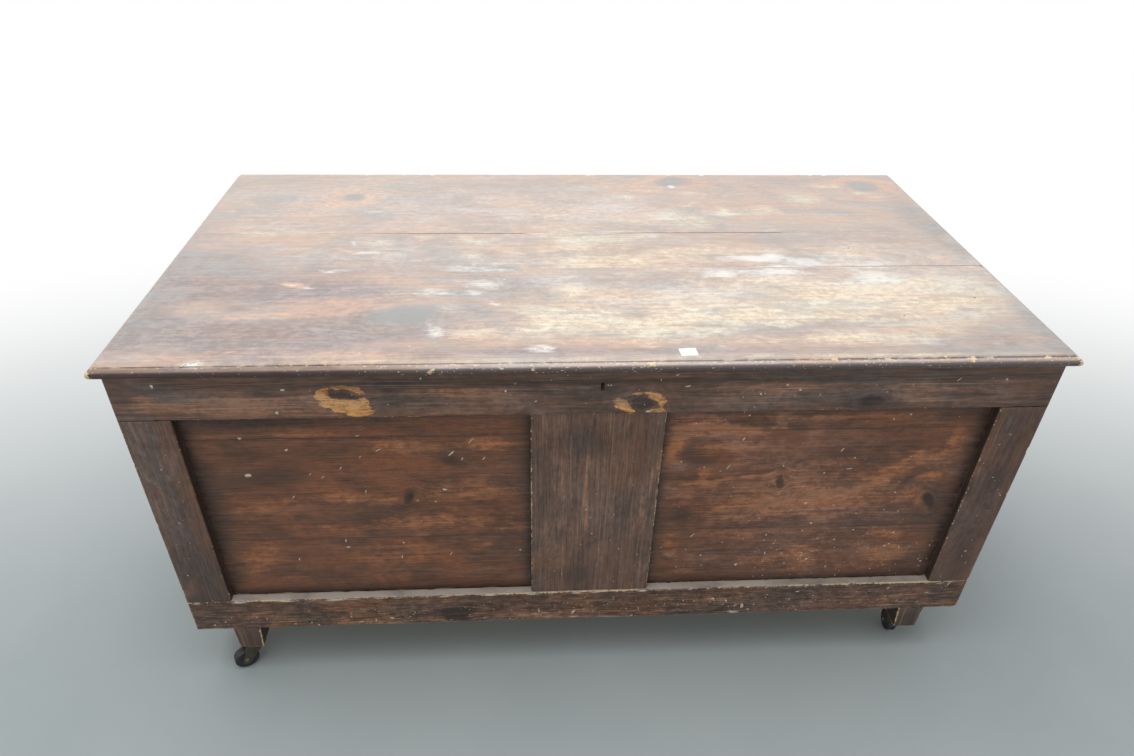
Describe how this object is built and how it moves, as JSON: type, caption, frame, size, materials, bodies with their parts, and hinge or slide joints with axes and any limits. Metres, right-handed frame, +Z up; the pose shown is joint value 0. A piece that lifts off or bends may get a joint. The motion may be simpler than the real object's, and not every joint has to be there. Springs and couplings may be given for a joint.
{
  "type": "blanket chest",
  "caption": "Low boarded chest with a hinged moulded lid, a planted frame on its front, a box lock and swivel casters, for blankets and bedding.",
  "frame": {"origin": "on the floor, under the middle of the chest", "axes": "+X along the front to the right as one faces it, +Y from the front to the back, +Z up"},
  "size_m": [1.22, 0.633, 0.593],
  "materials": {
    "lid_wood": "stained pine, worn through to pale wood in the middle, dull",
    "panel_wood": "red-brown stained pine, low sheen",
    "frame_wood": "dark brown stained pine, chipped arrises",
    "wall_wood": "dark brown stained pine",
    "inner_wood": "bare aged pine",
    "wheel_black": "hard black rubber, dusty",
    "caster_steel": "dull olive-grey steel, tarnished",
    "hinge_iron": "aged iron",
    "lock_metal": "tarnished brass",
    "screw_steel": "darkened steel"
  },
  "bodies": {
    "chest": {"back_board_bottom": "wall_wood", "back_board_middle": "wall_wood", "back_board_top": "wall_wood", "bottom_board_back": "inner_wood", "bottom_board_front": "inner_wood", "bottom_board_middle_back": "inner_wood", "bottom_board_middle_front": "inner_wood", "bottom_rail": "frame_wood", "caster_sockets": "caster_steel", "foot_block_back_left": "frame_wood", "foot_block_back_right": "frame_wood", "foot_block_front_left": "frame_wood", "foot_block_front_right": "frame_wood", "foot_block_screws": "screw_steel", "front_board_bottom": "panel_wood", "front_board_middle": "panel_wood", "front_board_top": "panel_wood", "left_end_board_lower": "wall_wood", "left_end_board_upper": "wall_wood", "left_hinge_lower_leaf": "hinge_iron", "left_hinge_pin": "hinge_iron", "left_stile": "frame_wood", "lock_cap": "lock_metal", "lock_case": "lock_metal", "lock_screws": "screw_steel", "lock_spring": "lock_metal", "lower_leaf_screws": "screw_steel", "muntin": "frame_wood", "right_end_board_lower": "wall_wood", "right_end_board_upper": "wall_wood", "right_hinge_lower_leaf": "hinge_iron", "right_hinge_pin": "hinge_iron", "right_stile": "frame_wood", "top_rail": "frame_wood"},
    "lid": {"batten_screws": "screw_steel", "left_hinge_upper_leaf": "hinge_iron", "lid_back_board": "lid_wood", "lid_front_board": "lid_wood", "lid_left_batten": "inner_wood", "lid_middle_board": "lid_wood", "lid_right_batten": "inner_wood", "link_plate_screws": "screw_steel", "lock_link_plate": "lock_metal", "right_hinge_upper_leaf": "hinge_iron", "upper_leaf_screws": "screw_steel"},
    "lock_bolt": {"lock_bolt": "lock_metal"},
    "caster_front_left": {"caster_axle_front_left": "caster_steel", "caster_horn_front_left": "caster_steel"},
    "wheel_front_left": {"caster_wheel_front_left": "wheel_black"},
    "caster_front_right": {"caster_axle_front_right": "caster_steel", "caster_horn_front_right": "caster_steel"},
    "wheel_front_right": {"caster_wheel_front_right": "wheel_black"},
    "caster_back_left": {"caster_axle_back_left": "caster_steel", "caster_horn_back_left": "caster_steel"},
    "wheel_back_left": {"caster_wheel_back_left": "wheel_black"},
    "caster_back_right": {"caster_axle_back_right": "caster_steel", "caster_horn_back_right": "caster_steel"},
    "wheel_back_right": {"caster_wheel_back_right": "wheel_black"}
  },
  "joints": [
    {"name": "lid_hinge", "type": "hinge", "parent": "chest", "child": "lid", "pos_m": [0, 0.3075, 0.57725], "axis": [-1, 0, 0], "range_deg": [0, 108]},
    {"name": "lock_bolt_slide", "type": "slide", "parent": "chest", "child": "lock_bolt", "axis": [1, 0, 0], "range_m": [0, 0.007]},
    {"name": "swivel_front_left", "type": "hinge", "parent": "chest", "child": "caster_front_left", "pos_m": [-0.526, -0.2815, 0.056], "axis": [0, 0, 1], "continuous": true},
    {"name": "roll_front_left", "type": "hinge", "parent": "caster_front_left", "child": "wheel_front_left", "pos_m": [-0.54587, -0.29206, 0.0185], "axis": [0.4695, -0.8829, 0], "continuous": true},
    {"name": "swivel_front_right", "type": "hinge", "parent": "chest", "child": "caster_front_right", "pos_m": [0.526, -0.2815, 0.056], "axis": [0, 0, 1], "continuous": true},
    {"name": "roll_front_right", "type": "hinge", "parent": "caster_front_right", "child": "wheel_front_right", "pos_m": [0.52796, -0.25909, 0.0185], "axis": [-0.9962, 0.0872, 0], "continuous": true},
    {"name": "swivel_back_left", "type": "hinge", "parent": "chest", "child": "caster_back_left", "pos_m": [-0.526, 0.2815, 0.056], "axis": [0, 0, 1], "continuous": true},
    {"name": "roll_back_left", "type": "hinge", "parent": "caster_back_left", "child": "wheel_back_left", "pos_m": [-0.54686, 0.28993, 0.0185], "axis": [-0.3746, -0.9272, 0], "continuous": true},
    {"name": "swivel_back_right", "type": "hinge", "parent": "chest", "child": "caster_back_right", "pos_m": [0.526, 0.2815, 0.056], "axis": [0, 0, 1], "continuous": true},
    {"name": "roll_back_right", "type": "hinge", "parent": "caster_back_right", "child": "wheel_back_right", "pos_m": [0.54656, 0.29065, 0.0185], "axis": [-0.4067, 0.9135, 0], "continuous": true}
  ]
}
